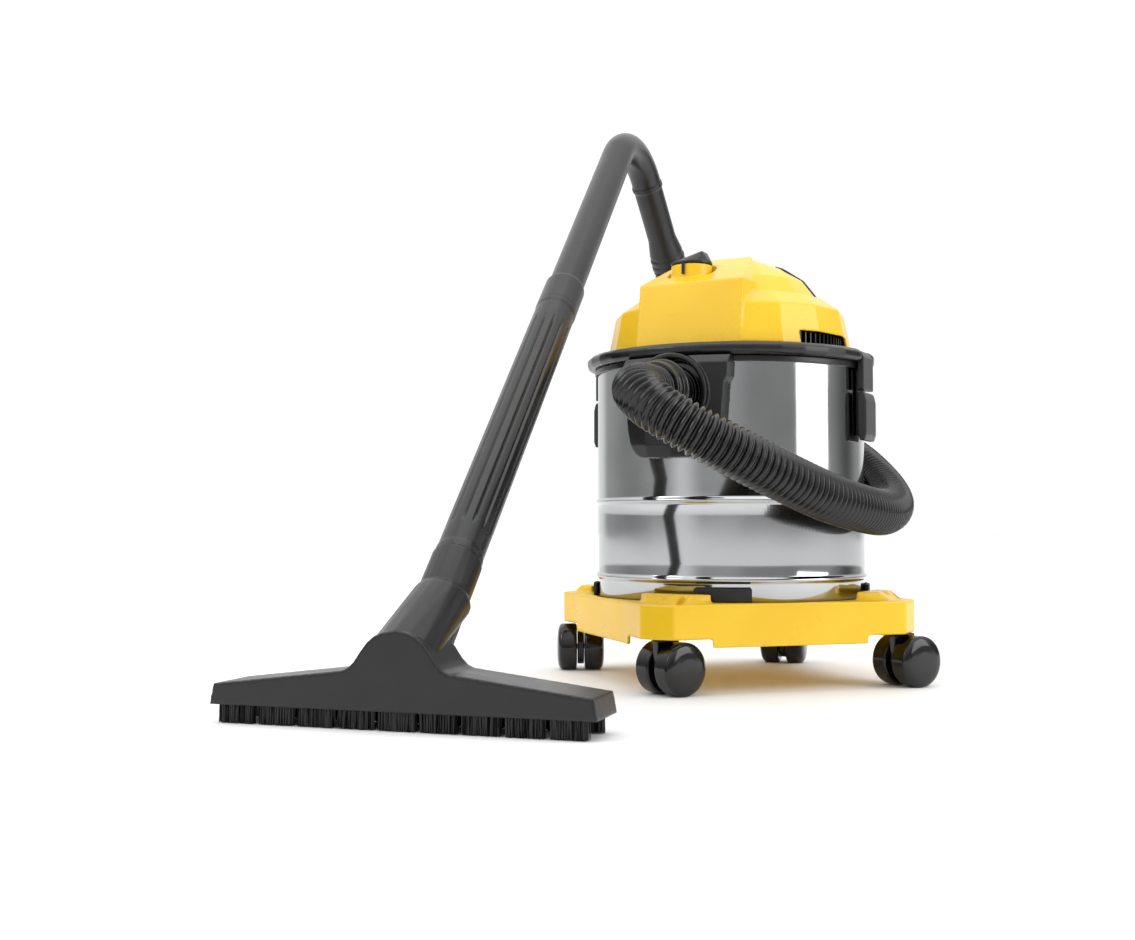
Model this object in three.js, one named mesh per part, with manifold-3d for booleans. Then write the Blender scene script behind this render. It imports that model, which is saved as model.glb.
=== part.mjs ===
// Compact wet-and-dry shop vacuum: a steel drum on a four-arm plastic base with twin-wheel casters, a
// lift-off motor head, a ribbed suction hose, and a bent handle with an extension tube and a floor nozzle.
// Millimetres, +Z up. The vacuum is laid out round the drum's axis, with its inlet and switch facing -Y.
import * as THREE from "three";
import { ConvexGeometry } from "three/addons/geometries/ConvexGeometry.js";
import { mergeVertices } from "three/addons/utils/BufferGeometryUtils.js";
import Module from "manifold-3d";

const wasm = await Module();
wasm.setup();

// ---- driving dimensions -------------------------------------------------------------------------
const gap = 0.3; // left between pieces that touch
const rounds = 36; // sides of a large turned piece
const smallRounds = 20; // sides of a small one

const drum = {
  radius: 138, height: 241.7, wall: 1, corner: 6, rib: 2.2, ribHalf: 4, footToRib: 29.7,
  ribToTop: 136,
};
const caster = {
  out: 38, trail: 10, wheelRadius: 25, halfWidth: 26, gapHalf: 4.2, web: 7, swingClearance: 3.4,
};
const stem = { radius: 5.5, flange: 10, length: 20, clearance: 0.4, bossWall: 5 };
const axle = { radius: 3, length: 36, clearance: 0.25 };
const casterYaws = { front: 155, right: 148, rear: 10, left: 28 };

const arm = {
  rootHalf: 36, crestHalf: 24, tipHalf: 17, out: 50, crestOut: 25, rise: 41, endRise: 22,
  overWheel: 2,
};
arm.underside = 2 * caster.wheelRadius + arm.overWheel;
arm.reach = drum.radius + arm.out;
arm.crest = drum.radius + arm.crestOut;
arm.top = arm.underside + arm.rise;
arm.endTop = arm.underside + arm.endRise;
caster.circle = drum.radius + caster.out;
caster.swing = Math.hypot(caster.trail + caster.wheelRadius, caster.halfWidth) + caster.swingClearance;

const base = {
  belowArm: 8, deckRise: 32, lip: 9, deckThickness: 4, wall: 3.5, facetOut: 5, ahead: 85,
  behind: 69,
};
base.underside = arm.underside - base.belowArm;
base.deck = base.underside + base.deckRise;
base.top = base.deck + base.lip;
base.facet = drum.radius + base.facetOut;
const trayClearance = 0.8;
const buffer = { width: 54, height: 13, thickness: 4, azimuth: 18 };

drum.bottom = base.deck + gap;
drum.top = drum.bottom + drum.height;
const ribHeights = [drum.bottom + drum.footToRib, drum.top - drum.ribToTop];
const rim = { outer: drum.radius + 3, inner: drum.radius - 3.5, depth: 4 };

const inlet = {
  bore: 17.7, wall: 4.3, flangeWidth: 9.5, belowTop: 34, out: 37, within: 20,
  openingClearance: 1.5,
};
inlet.outer = inlet.bore + inlet.wall;
inlet.flange = inlet.outer + inlet.flangeWidth;
inlet.opening = inlet.flange + inlet.openingClearance;
inlet.height = drum.top - inlet.belowTop;
inlet.reach = drum.radius + inlet.out;
inlet.inside = drum.radius - inlet.within;
const cowl = { proud: 19, depth: 95, ringWidth: 5, ringProud: 3, halfWidth: 55, footHalf: 44, corner: 12 };
cowl.outer = drum.radius + cowl.proud;
cowl.bottom = drum.top - cowl.depth;
cowl.ring = inlet.opening + cowl.ringWidth;
const connector = { slack: 0.4, wall: 2.3, body: 27, length: 22, spigotLength: 25 };
connector.spigot = inlet.bore - connector.slack;
connector.bore = connector.spigot - connector.wall;
connector.shoulder = inlet.flange - 2;
connector.reach = inlet.reach + connector.length;

const latch = {
  width: 36, innerOut: 3.6, hookOut: 10, leverOut: 12.5, above: 13, splitBelow: 25.7, below: 76,
};
latch.inner = drum.radius + latch.innerOut;
latch.outer = drum.radius + latch.hookOut;
latch.lever = drum.radius + latch.leverOut;
latch.top = drum.top + latch.above;
latch.split = drum.top - latch.splitBelow;
latch.bottom = drum.top - latch.below;
const latchPin = { out: drum.radius + 7.4, height: drum.top - 31, round: 4, notchClearance: 0.8 };

const collar = { proud: 11, lift: 2, height: 14, ledge: 7, seatWidth: 7, lip: 4 };
collar.outer = drum.radius + collar.proud;
collar.bottom = drum.top + collar.lift;
collar.top = collar.bottom + collar.height;
collar.inner = drum.radius - collar.ledge;
collar.seat = collar.inner - collar.seatWidth;
const gasket = { inner: collar.inner + 2, outer: drum.radius - 0.5, height: 2.8 };
const cover = {
  foot: collar.top + gap, shell: 3.4, front: 114.7, frontHalf: 55, frontRise: 63.7,
  frontTopReach: 105,
};
cover.frontTop = cover.foot + cover.frontRise;
const skirt = { radius: collar.seat + 3, shoulderIn: 8, stepIn: 28, shoulderRise: 40.7, stepRise: 54.7 };
skirt.shoulder = skirt.radius - skirt.shoulderIn;
skirt.step = skirt.radius - skirt.stepIn;
skirt.shoulderHeight = cover.foot + skirt.shoulderRise;
skirt.stepHeight = cover.foot + skirt.stepRise;
const cap = { radii: [97, 80, 58, 34], heights: [51.7, 73.7, 87.7, 97.7].map((rise) => cover.foot + rise) };
const skirtAngles = [25.6, 45, 66, 88, 112, 136, 160];
const pedestal = { x: -12, y: -73, radius: 20.6, rise: 85.2, moat: 4, wellRise: 72.2, wellWall: 3 };
pedestal.top = cover.foot + pedestal.rise;
pedestal.well = pedestal.radius + pedestal.moat;
pedestal.wellFloor = cover.foot + pedestal.wellRise;
const knob = {
  radius: pedestal.radius + 0.4, base: 2.2, ridge: 13, ridgeAt: 14, pointerWidth: 3.4,
  pointerLength: 12,
};
const grip = { from: 87, to: 119, inner: 50, outer: 92, proud: 1.2, sunk: 1.4 };
const exhaust = { from: 55, to: 99, depth: 19, rise: 13.7, fins: 13, finThickness: 1.6, finDepth: 9.5 };
exhaust.inner = skirt.radius - exhaust.depth;
exhaust.top = cover.foot + exhaust.rise;

const deck = { clearance: 0.4, lift: 4, thickness: 3.8, spigot: 34, spigotBore: 26, spigotDrop: 24 };
deck.radius = collar.inner - deck.clearance;
deck.bottom = collar.bottom + deck.lift;
const fanHousing = { radius: 62, height: 18, wall: 2 };
const fan = { radius: 52, height: 9, hub: 11, blades: 9 };
const motor = { radius: 44, height: 52, shaft: 4 };
const filter = { outer: 58, inner: 44, length: 117, pleats: 30, pleatDepth: 4, capHeight: 8 };
filter.bottom = deck.bottom - filter.length;
const cage = { outer: 33, inner: 30.5, drop: 80, floor: 2, slot: 14 };
cage.bottom = deck.bottom - cage.drop;
const float = { radius: 28, height: 26, seat: cage.bottom + cage.floor + 0.5 };

const wand = { x: -98, y: -445, turn: 9.6, slope: 43.75, footY: 75, footZ: 109.9 };
const nozzle = {
  half: 163, front: 31, depth: 54, bottom: 15, endTop: 32, shoulder: 46, shoulderAt: 45, hump: 78,
};
const mouth = { half: nozzle.half - 15, depth: 24, roof: nozzle.bottom + 12 };
const brush = { half: nozzle.half - 5, thickness: 8, inset: 3 };
const neck = { radius: 22.5, bore: 17.7, start: -84, end: 26, hood: 25.5, hoodEnd: -16 };
const tube = { radius: 20.8, bore: 18.4, end: 394 };
const handle = { radius: 18.6, bore: 16.2, straight: 717, bend: 70, fall: 52, tail: 3, lean: 6 };
const cuff = { radius: 18.2, flare: 23, length: 120, bore: 15 };
const hose = { radius: 22.5, sides: 10, steps: 42 };

// ---- small geometry tools -----------------------------------------------------------------------
const rad = THREE.MathUtils.degToRad;
const group = new THREE.Group();

// An azimuth turns from the front, -Y, towards +X.
function polar(radius, azimuth, z = 0) {
  return new THREE.Vector3(radius * Math.sin(rad(azimuth)), -radius * Math.cos(rad(azimuth)), z);
}

function toSolid(geometry) {
  const bare = geometry.index ? geometry.toNonIndexed() : geometry.clone();
  bare.deleteAttribute("normal");
  bare.deleteAttribute("uv");
  const merged = mergeVertices(bare, 1e-4);
  const triVerts = new Uint32Array(merged.index.array);
  const vertProperties = new Float32Array(merged.attributes.position.array);
  return new wasm.Manifold(new wasm.Mesh({ numProp: 3, vertProperties, triVerts }));
}

function toGeometry(solid) {
  const mesh = solid.getMesh();
  const geometry = new THREE.BufferGeometry();
  geometry.setAttribute("position", new THREE.BufferAttribute(new Float32Array(mesh.vertProperties), 3));
  geometry.setIndex(new THREE.BufferAttribute(new Uint32Array(mesh.triVerts), 1));
  return geometry;
}

function material(color, roughness, metalness = 0) {
  return new THREE.MeshStandardMaterial({ color, roughness, metalness });
}

const finishes = {
  yellow: () => material(0xf7d42e, 0.35),
  black: () => material(0x17181a, 0.45),
  grey: () => material(0x3a3b3d, 0.4),
  rubber: () => material(0x1c1c1d, 0.8),
  steel: () => material(0xc4c6c8, 0.15, 1),
  brightSteel: () => material(0xb4b6b8, 0.3, 1),
  paper: () => material(0xe8e2cf, 0.9),
  white: () => material(0xe9e9e6, 0.5),
};

function add(name, shape, finish, parent = group) {
  const geometry = shape instanceof THREE.BufferGeometry ? shape : toGeometry(shape);
  const mesh = new THREE.Mesh(geometry, finishes[finish]());
  mesh.name = name;
  parent.add(mesh);
  return mesh;
}

// A turned solid: the profile lists [radius, height] and closes on itself or on the axis.
function turned(profile, sides = rounds) {
  const closed = profile[0][0] > 0 ? [...profile, profile[0]] : profile;
  const points = closed.map(([r, z]) => new THREE.Vector2(r, z));
  const geometry = new THREE.LatheGeometry(points, sides);
  geometry.rotateX(Math.PI / 2);
  const solid = toSolid(geometry);
  return solid.volume() < 0 ? toSolid(flipped(geometry)) : solid;
}

function flipped(geometry) {
  const bare = geometry.toNonIndexed();
  const p = bare.attributes.position;
  for (let i = 0; i < p.count; i += 3) {
    const [x, y, z] = [p.getX(i), p.getY(i), p.getZ(i)];
    p.setXYZ(i, p.getX(i + 1), p.getY(i + 1), p.getZ(i + 1));
    p.setXYZ(i + 1, x, y, z);
  }
  return bare;
}

function box(x0, x1, y0, y1, z0, z1) {
  const geometry = new THREE.BoxGeometry(x1 - x0, y1 - y0, z1 - z0);
  geometry.translate((x0 + x1) / 2, (y0 + y1) / 2, (z0 + z1) / 2);
  return toSolid(geometry);
}

// A round bar between two points.
function rod(from, to, radius, sides = smallRounds) {
  const along = new THREE.Vector3().subVectors(to, from);
  const geometry = new THREE.CylinderGeometry(radius, radius, along.length(), sides);
  geometry.translate(0, along.length() / 2, 0);
  const up = new THREE.Vector3(0, 1, 0);
  geometry.applyQuaternion(new THREE.Quaternion().setFromUnitVectors(up, along.normalize()));
  geometry.translate(from.x, from.y, from.z);
  return toSolid(geometry);
}

function hull(points) {
  return toSolid(new ConvexGeometry(points));
}

// A plan outline, given as [x, y], raised from one height to another.
function raised(outline, from, to) {
  const shape = new THREE.Shape(outline.map(([x, y]) => new THREE.Vector2(x, y)));
  const geometry = new THREE.ExtrudeGeometry(shape, { depth: to - from, bevelEnabled: false });
  geometry.translate(0, 0, from);
  return toSolid(geometry);
}

// A plan sector between two radii and two azimuths.
function sector(inner, outer, from, to, low, high) {
  const pieces = Math.max(2, Math.ceil((to - from) / 6));
  const angles = Array.from({ length: pieces + 1 }, (_, i) => from + ((to - from) * i) / pieces);
  const away = angles.map((a) => polar(outer, a));
  const back = angles.reverse().map((a) => polar(inner, a));
  return raised([...away, ...back].map((p) => [p.x, p.y]), low, high);
}

function ringPoints(radius, height, angles) {
  return angles.map((a) => polar(radius, a, height));
}

function quarters() {
  return [0, 90, 180, 270];
}

// ---- base: one moulding, open underneath, with a tray for the drum and four arms for the casters 
// The facet between two arms starts at one shoulder and ends at the next arm's; it isn't quite centred.
function baseOutline(inset) {
  const facet = base.facet - inset;
  const onFacet = (aside) => [(facet - aside) * Math.SQRT1_2, -(facet + aside) * Math.SQRT1_2];
  const [startX, startY] = onFacet(base.ahead - inset / 2);
  const [endY, endX] = onFacet(base.behind - inset / 2);
  const points = [];
  for (const turn of quarters()) {
    for (const [x, y] of [
      [-endY, endX],
      [-arm.tipHalf + inset, -arm.reach + inset],
      [arm.tipHalf - inset, -arm.reach + inset],
      [startX, startY],
    ]) {
      const c = Math.cos(rad(turn));
      const s = Math.sin(rad(turn));
      points.push([x * c - y * s, x * s + y * c]);
    }
  }
  return points;
}

// The arm's upper body runs out from the drum, level to its crest, then falls to its end.
function armBlock(inset, low) {
  const reach = arm.reach - inset;
  const root = drum.radius + trayClearance + buffer.thickness + 1;
  const points = [];
  for (const side of [-1, 1]) {
    const rootX = side * (arm.rootHalf - inset);
    const tipX = side * (arm.tipHalf - inset);
    points.push(new THREE.Vector3(rootX + side * 4, -root, low), new THREE.Vector3(tipX, -reach, low));
    points.push(new THREE.Vector3(rootX, -root, arm.top - inset));
    points.push(new THREE.Vector3(side * (arm.crestHalf - inset), -arm.crest, arm.top - inset));
    points.push(new THREE.Vector3(side * (arm.crestHalf + 3 - inset), -arm.crest, low));
    points.push(new THREE.Vector3(tipX, -reach, arm.endTop - inset));
  }
  return hull(points);
}

function baseChassis() {
  const outline = baseOutline(0);
  let solid = raised(outline, base.underside, base.top);
  let inside = raised(baseOutline(base.wall), base.underside - 1, base.deck - base.deckThickness);
  for (const turn of quarters()) {
    const block = armBlock(0, arm.underside);
    const room = armBlock(base.wall, arm.underside - 1);
    const foot = polar(caster.circle, turn, base.underside - 1);
    const swingRoom = rod(foot, polar(caster.circle, turn, arm.underside), caster.swing, rounds);
    solid = solid.subtract(swingRoom).add(block.rotate([0, 0, turn]));
    inside = inside.add(room.rotate([0, 0, turn]));
  }
  const wide = arm.reach + 20;
  const roof = box(-wide, wide, -wide, wide, base.deck - base.deckThickness, arm.top + 1);
  solid = solid.subtract(inside.subtract(roof));
  for (const turn of quarters()) {
    const at = polar(caster.circle, turn);
    const foot = polar(caster.circle, turn, arm.underside);
    const bossTop = polar(caster.circle, turn, arm.underside + stem.length + 1);
    const boss = rod(foot, bossTop, stem.radius + stem.bossWall);
    const bore = rod(
      new THREE.Vector3(at.x, at.y, arm.underside - 1),
      new THREE.Vector3(at.x, at.y, arm.underside + stem.length + 0.5),
      stem.radius + stem.clearance,
    );
    solid = solid.add(boss).subtract(bore);
  }
  const trayRadius = drum.radius + trayClearance;
  const above = arm.top + 1;
  const tray = turned([[0, base.deck], [trayRadius, base.deck], [trayRadius, above], [0, above]]);
  return solid.subtract(tray);
}

add("base_chassis", baseChassis(), "yellow");

// Rubber buffers stand on the base round the drum's foot and stop it rattling.
for (const [index, turn] of quarters().entries()) {
  const low = base.top + gap;
  const half = (buffer.width / 2 / drum.radius) * THREE.MathUtils.RAD2DEG;
  const azimuth = buffer.azimuth + turn;
  const inner = drum.radius + trayClearance;
  const pad = sector(inner, inner + buffer.thickness, azimuth - half, azimuth + half, low, low + buffer.height);
  add(`drum_buffer_${index + 1}`, pad, "rubber");
}

// ---- casters: a hood turning on its stem, an axle, and a wheel on each side ---------------------
function casterHood() {
  const hub = caster.wheelRadius;
  const half = caster.web / 2;
  const top = arm.underside - gap;
  const disc = rod(new THREE.Vector3(-half, 0, hub), new THREE.Vector3(half, 0, hub), hub - 6);
  const neckPiece = box(-half, half, -8, caster.trail + 9, hub, top);
  const stemAt = (z) => new THREE.Vector3(0, caster.trail, z);
  const flange = rod(stemAt(top - 1.4), stemAt(top), stem.flange);
  const pin = rod(stemAt(top - 1), stemAt(arm.underside + stem.length), stem.radius);
  const bore = rod(new THREE.Vector3(-9, 0, hub), new THREE.Vector3(9, 0, hub), axle.radius + axle.clearance);
  return disc.add(neckPiece).add(flange).add(pin).subtract(bore);
}

function casterWheel() {
  const r = caster.wheelRadius;
  const end = caster.halfWidth;
  const bore = axle.radius + axle.clearance;
  const depth = axle.length / 2 + gap;
  const profile = [
    [0, end], [r - 8, end - 0.8], [r - 2.5, end - 2.2], [r, end - 5.5], [r, caster.gapHalf + 1.5],
    [r - 1.5, caster.gapHalf], [bore, caster.gapHalf], [bore, depth], [0, depth],
  ];
  return toGeometry(turned(profile, smallRounds)).rotateY(Math.PI / 2).translate(0, 0, r);
}

for (const [index, side] of ["front", "right", "rear", "left"].entries()) {
  const holder = new THREE.Group();
  const yaw = rad(casterYaws[side]);
  const at = polar(caster.circle, 90 * index);
  const back = new THREE.Vector3(0, -caster.trail, 0).applyAxisAngle(new THREE.Vector3(0, 0, 1), yaw);
  holder.position.set(at.x + back.x, at.y + back.y, 0);
  holder.rotation.z = yaw;
  group.add(holder);
  const hub = caster.wheelRadius;
  add(`caster_${side}_hood`, casterHood(), "black", holder);
  const pin = rod(
    new THREE.Vector3(-axle.length / 2, 0, hub),
    new THREE.Vector3(axle.length / 2, 0, hub),
    axle.radius,
  );
  add(`caster_${side}_axle`, pin, "brightSteel", holder);
  add(`caster_${side}_wheel_outer`, casterWheel(), "black", holder);
  add(`caster_${side}_wheel_inner`, casterWheel().rotateZ(Math.PI), "black", holder);
}

// ---- drum: deep-drawn stainless steel with two rolled ribs, and a black ring over its top edge --
function drumProfile() {
  const { radius, wall, bottom, top, corner, rib, ribHalf } = drum;
  const outer = [[0, bottom], [radius - corner, bottom], [radius - 1.5, bottom + 2], [radius, bottom + corner]];
  for (const z of ribHeights) {
    outer.push([radius, z - ribHalf], [radius + rib, z - 1.2], [radius + rib, z + 1.2], [radius, z + ribHalf]);
  }
  outer.push([radius, top]);
  const inner = outer.map(([r, z]) => [r - wall, z]).reverse();
  inner.splice(-4, 4, [radius - wall, bottom + corner], [radius - corner, bottom + wall], [0, bottom + wall]);
  return [...outer, ...inner];
}

const inletAxis = (y) => new THREE.Vector3(0, y, inlet.height);
const drumShell = turned(drumProfile()).subtract(
  rod(inletAxis(-drum.radius - 20), inletAxis(-drum.radius + 30), inlet.outer + gap),
);
add("drum", drumShell, "steel");

const slotInner = drum.radius - drum.wall - gap;
const slotOuter = drum.radius + gap;
const rimTop = collar.bottom - gap;
const rimFoot = drum.top - rim.depth;
const rimRing = turned([
  [rim.inner, rimFoot], [slotInner, rimFoot], [slotInner, drum.top + gap], [slotOuter, drum.top + gap],
  [slotOuter, rimFoot], [rim.outer, rimFoot], [rim.outer, rimTop], [rim.inner, rimTop],
]);
const portHole = rod(inletAxis(-inlet.reach), inletAxis(-inlet.inside), inlet.outer + 2);
add("drum_rim", rimRing.subtract(portHole), "black");

// ---- inlet: a black cowl on the drum's front, the port through the wall, and the hose's connector 
function cowlSolid() {
  const { halfWidth, footHalf, bottom, corner } = cowl;
  const top = rimTop;
  const shape = new THREE.Shape();
  shape.moveTo(-halfWidth, top);
  shape.lineTo(-footHalf - 4, bottom + corner + 14);
  shape.quadraticCurveTo(-footHalf, bottom, -footHalf + corner, bottom);
  shape.lineTo(footHalf - corner, bottom);
  shape.quadraticCurveTo(footHalf, bottom, footHalf + 4, bottom + corner + 14);
  shape.lineTo(halfWidth - 4, bottom + 70);
  shape.lineTo(halfWidth - 1, bottom + 76);
  shape.lineTo(halfWidth, top);
  const from = drum.radius / 2;
  const depth = cowl.outer + 1 - from;
  const geometry = new THREE.ExtrudeGeometry(shape, { depth, bevelEnabled: false, curveSegments: 5 });
  geometry.rotateX(Math.PI / 2);
  geometry.translate(0, -from, 0);
  const inner = rim.outer + gap;
  const shell = turned([
    [inner, bottom - 1], [cowl.outer - 5, bottom - 1], [cowl.outer, bottom + 12], [cowl.outer, top - 8],
    [cowl.outer - 6, top], [inner, top],
  ]);
  const back = drum.radius + gap;
  const lug = turned([[back, bottom], [inner + 1, bottom], [inner + 1, rimFoot - 1], [back, rimFoot - 1]]);
  const body = toSolid(geometry).intersect(shell.add(lug));
  const ring = rod(inletAxis(-cowl.outer - cowl.ringProud), inletAxis(-collar.outer - 1), cowl.ring, rounds);
  return body.add(ring).subtract(rod(inletAxis(-inlet.reach), inletAxis(-inlet.inside), inlet.opening, rounds));
}

add("inlet_cowl", cowlSolid(), "black");

// A turned piece whose axis runs out of the inlet along -Y; the profile's heights are distances out.
function outward(profile, sides = smallRounds) {
  const geometry = toGeometry(turned(profile, sides));
  return geometry.rotateX(Math.PI / 2).translate(0, 0, inlet.height);
}

const flangeAt = rim.outer + 2;
add("inlet_port", outward([
  [inlet.bore, inlet.inside], [inlet.outer, inlet.inside], [inlet.outer, flangeAt], [inlet.flange, flangeAt],
  [inlet.flange, flangeAt + 4], [inlet.outer, flangeAt + 4], [inlet.outer, inlet.reach], [inlet.bore, inlet.reach],
]), "black");
const shoulderAt = inlet.reach + gap;
const spigotEnd = inlet.reach - connector.spigotLength;
add("hose_connector", outward([
  [connector.bore, spigotEnd], [connector.spigot, spigotEnd], [connector.spigot, shoulderAt],
  [connector.shoulder, shoulderAt], [connector.shoulder, shoulderAt + 7], [connector.body, shoulderAt + 9],
  [connector.body, connector.reach], [connector.bore, connector.reach],
]), "black");

// ---- latches: a hook plate standing on the drum and a lever hinged below it, one on each side ---
function latchBracket() {
  const half = latch.width / 2;
  const back = drum.radius + 0.7;
  const hookLow = latch.split + gap;
  const points = [];
  for (const y of [-half, half]) {
    points.push(new THREE.Vector3(latch.inner, y, hookLow), new THREE.Vector3(latch.outer, y, hookLow));
    points.push(new THREE.Vector3(latch.outer, y, latch.top - 6), new THREE.Vector3(latch.outer - 3, y, latch.top));
    points.push(new THREE.Vector3(latch.inner, y, latch.top));
  }
  const backTop = rimFoot - 1;
  const backing = box(back, latch.inner - 1, -half + 5, half - 5, latch.bottom + 4, backTop);
  const bridge = box(back, latch.inner + 1, -half + 5, half - 5, hookLow, backTop);
  return hull(points).add(backing).add(bridge);
}

function latchLever() {
  const half = latch.width / 2;
  const pinAt = (y) => new THREE.Vector3(latchPin.out, y, latchPin.height);
  const points = [];
  for (const y of [-half, half]) {
    points.push(new THREE.Vector3(latch.inner + 0.2, y, latch.bottom + 8));
    points.push(new THREE.Vector3(latch.lever, y, latchPin.height - 6));
    points.push(new THREE.Vector3(latch.lever, y, latch.bottom + 6));
    points.push(new THREE.Vector3(latch.lever - 2, y, latch.bottom));
    points.push(new THREE.Vector3(latch.inner + 2, y, latch.bottom));
    for (let i = 0; i < 8; i += 1) {
      const a = (i * Math.PI) / 4;
      const r = latchPin.round - 0.3;
      points.push(pinAt(y).add(new THREE.Vector3(r * Math.cos(a), 0, r * Math.sin(a))));
    }
  }
  return hull(points);
}

for (const [side, turn] of [["right", 0], ["left", Math.PI]]) {
  const holder = new THREE.Group();
  holder.rotation.z = turn;
  group.add(holder);
  add(`latch_bracket_${side}`, latchBracket(), "black", holder);
  add(`latch_lever_${side}`, latchLever(), "grey", holder);
}

// ---- head: collar, faceted cover, knob, grips and grille ----------------------------------------
function collarSolid() {
  const { outer, bottom, top, inner, seat, lip } = collar;
  const groove = bottom + gasket.height + gap;
  let ring = turned([
    [inner, bottom], [gasket.inner - gap, bottom], [gasket.inner - gap, groove], [gasket.outer + gap, groove],
    [gasket.outer + gap, bottom], [outer - 3, bottom], [outer, bottom + 3], [outer, top - 5],
    [outer - 4, top - 1.5], [seat + 8, top], [seat, top], [seat, top - lip], [inner, top - lip - 1],
  ]);
  const half = latch.width / 2 + latchPin.notchClearance;
  for (const turn of [0, 180]) {
    ring = ring.subtract(box(latch.inner - 0.5, outer + 5, -half, half, bottom - 1, top + 1).rotate([0, 0, turn]));
  }
  return ring;
}

add("head_collar", collarSolid(), "black");
add("head_gasket", turned([
  [gasket.inner, collar.bottom], [gasket.outer, collar.bottom],
  [gasket.outer, collar.bottom + gasket.height], [gasket.inner, collar.bottom + gasket.height],
]), "rubber");

const wellFoot = pedestal.wellFloor - pedestal.wellWall;
const spindleRadius = 5;

const capAngles = [...skirtAngles, ...skirtAngles.map((a) => -a)];

// The cover's outer form, moved in or out by an offset: a stepped skirt, a tapering cap and the front block.
function coverForm(offset, foot) {
  const angles = capAngles;
  const low = ringPoints(skirt.radius + offset, foot, angles);
  const body = hull([
    ...low,
    ...ringPoints(skirt.shoulder + offset, skirt.shoulderHeight + offset / 2, angles),
    ...ringPoints(skirt.step + offset, skirt.stepHeight + offset, angles),
  ]);
  const layers = cap.radii.map((r, i) => ringPoints(r + offset, cap.heights[i] + offset, angles));
  const top = hull([...layers.flat(), ...ringPoints(cap.radii[0] + offset, foot, angles)]);
  const half = cover.frontHalf + offset;
  const block = [];
  for (const side of [-1, 1]) {
    block.push(new THREE.Vector3(side * half, -cover.front - offset, foot));
    block.push(new THREE.Vector3(side * half, -cover.frontTopReach - offset, cover.frontTop + offset / 2));
    block.push(new THREE.Vector3(side * (half - 18), -34, cap.heights[3] + offset));
    block.push(new THREE.Vector3(side * half, -20, cover.frontTop + offset / 2));
    block.push(new THREE.Vector3(side * half, -20, foot));
  }
  return body.add(top).add(hull(block));
}

const capTop = (offset) => hull(
  cap.radii.flatMap((r, i) => ringPoints(r + offset, cap.heights[i] + offset, capAngles)),
);

function gripOutline(side, grow) {
  const spread = (grow / grip.outer) * THREE.MathUtils.RAD2DEG;
  const from = grip.from - spread;
  const to = grip.to + spread;
  return [
    [grip.inner - grow, from + 6], [grip.inner + 14, from], [grip.outer + grow, from + 8],
    [grip.outer + grow, to - 8], [grip.inner + 14, to], [grip.inner - grow, to - 6],
  ].map(([r, a]) => polar(r, side * a)).map((p) => [p.x, p.y]);
}

function gripPrism(side, grow) {
  const outline = gripOutline(side, grow);
  return raised(side > 0 ? outline : outline.reverse(), cap.heights[0] + 8, cap.heights[3] + 6);
}

function coverSolid() {
  const outer = coverForm(0, cover.foot);
  const inner = coverForm(-cover.shell, cover.foot - 1);
  const upright = (radius, from, to) => rod(
    new THREE.Vector3(pedestal.x, pedestal.y, from),
    new THREE.Vector3(pedestal.x, pedestal.y, to),
    radius,
    rounds,
  );
  const above = cap.heights[3] + 5;
  const cup = upright(pedestal.well + pedestal.wellWall, wellFoot, above).intersect(outer);
  const well = upright(pedestal.well, pedestal.wellFloor, above);
  const stand = upright(pedestal.radius, wellFoot, pedestal.top);
  let solid = outer.subtract(inner).add(cup).subtract(well).add(stand);
  for (const side of [1, -1]) {
    solid = solid.subtract(gripPrism(side, gap).subtract(capTop(-grip.sunk - gap)));
  }
  const window = sector(exhaust.inner, skirt.radius + 10, exhaust.from, exhaust.to, cover.foot - 1, exhaust.top);
  const spindle = upright(spindleRadius + 0.5, wellFoot - 1, pedestal.top + 1);
  return solid.subtract(window).subtract(spindle);
}

add("head_cover", coverSolid(), "yellow");
for (const [side, sign] of [["right", 1], ["left", -1]]) {
  const pad = capTop(grip.proud).intersect(gripPrism(sign, 0)).subtract(capTop(-grip.sunk));
  add(`carry_grip_${side}`, pad, "rubber");
}

function knobSolid() {
  const low = pedestal.top + gap;
  const centre = (x, y, z) => new THREE.Vector3(pedestal.x + x, pedestal.y + y, z);
  const ring = (z) => Array.from({ length: smallRounds }, (_, i) => {
    const a = (i * 2 * Math.PI) / smallRounds;
    return centre(knob.radius * Math.cos(a), knob.radius * Math.sin(a), z);
  });
  const ridge = low + knob.ridge;
  const points = [...ring(low), ...ring(low + knob.base)];
  points.push(centre(knob.ridgeAt, -7, ridge), centre(knob.ridgeAt, 7, ridge));
  const pointer = box(
    pedestal.x - knob.pointerWidth / 2, pedestal.x + knob.pointerWidth / 2,
    pedestal.y - pedestal.radius - 2.6, pedestal.y - pedestal.radius - 0.6,
    low - knob.pointerLength, low + knob.base,
  );
  const root = box(
    pedestal.x - knob.pointerWidth / 2, pedestal.x + knob.pointerWidth / 2,
    pedestal.y - pedestal.radius - 2.6, pedestal.y - 5, low, low + knob.base,
  );
  const spindle = rod(centre(0, 0, wellFoot - 3), centre(0, 0, low + 1), spindleRadius);
  return hull(points).add(pointer).add(root).add(spindle);
}

add("switch_knob", knobSolid(), "black");
const switchTop = wellFoot - 3 - gap;
add("switch_body", box(
  pedestal.x - 15, pedestal.x + 15, pedestal.y - 8, pedestal.y + 12, switchTop - 26.2, switchTop,
), "black");

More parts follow.
